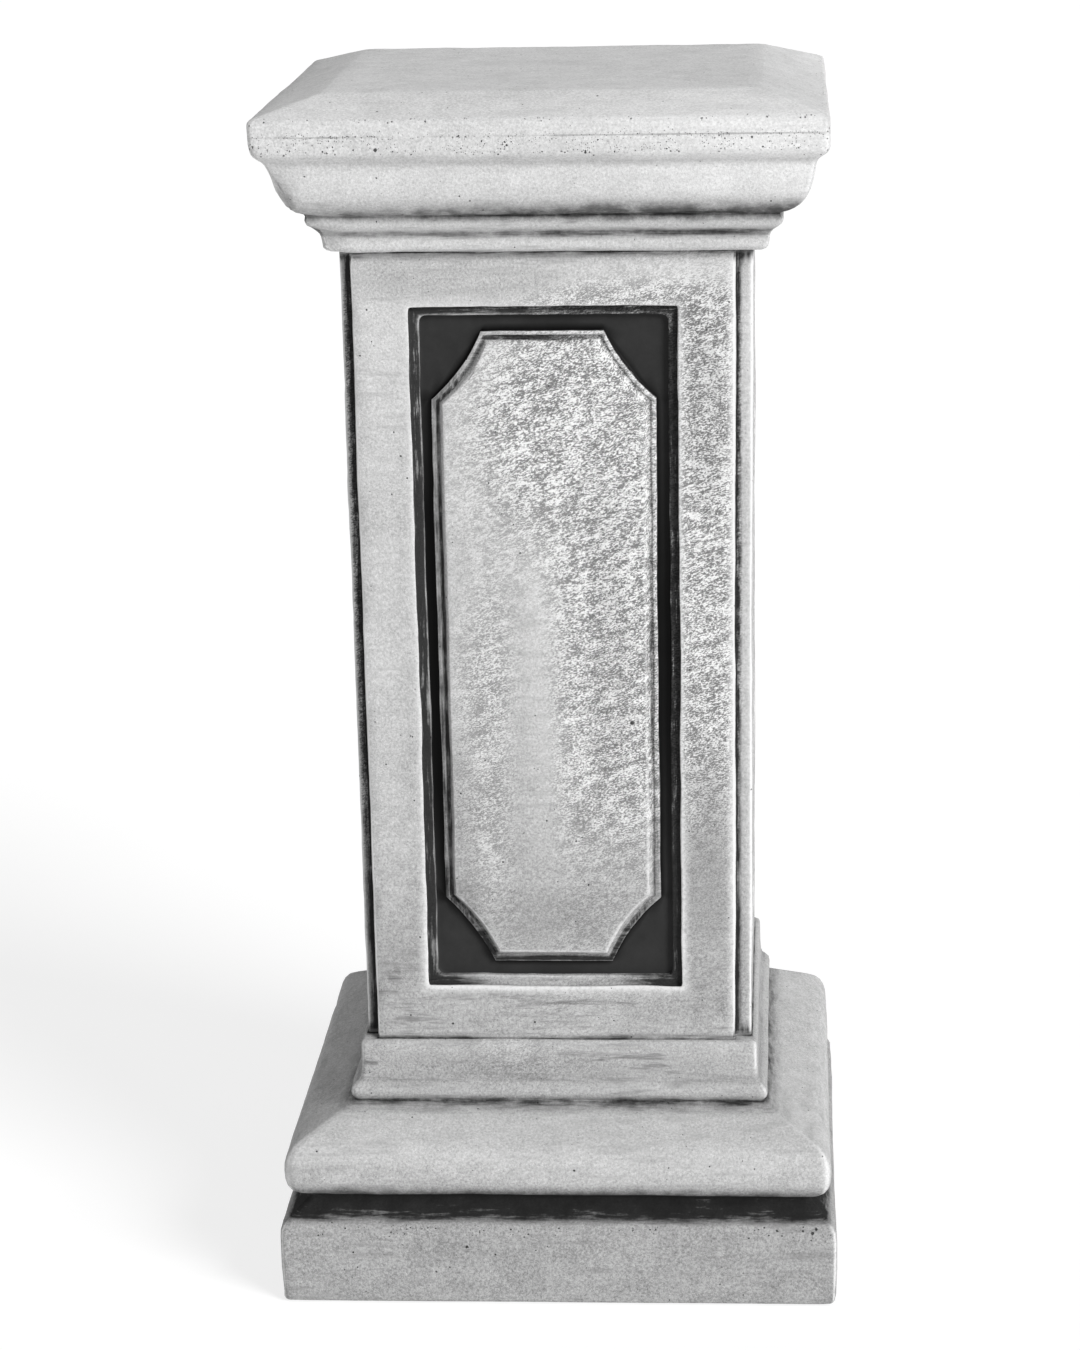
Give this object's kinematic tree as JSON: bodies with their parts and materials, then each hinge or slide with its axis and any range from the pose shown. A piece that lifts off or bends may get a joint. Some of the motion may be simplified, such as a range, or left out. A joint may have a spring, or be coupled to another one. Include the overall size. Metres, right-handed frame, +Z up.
{
  "type": "pedestal",
  "caption": "Square cast-stone garden pedestal with moulded base and cap, rebated corners and a raised long octagonal panel sunk in each face of its shaft, for standing an urn or statue on.",
  "frame": {"origin": "middle of the underside", "axes": "+Z up along the shaft, -Y out of the front face, +X to the right seen from the front"},
  "size_m": [0.352, 0.352, 0.76],
  "materials": {
    "cast_stone": "pale grey cast stone with a dark antique wash left in the creases and on the sunk ground of the panels"
  },
  "bodies": {
    "root": {"pedestal": "cast_stone"}
  },
  "joints": []
}
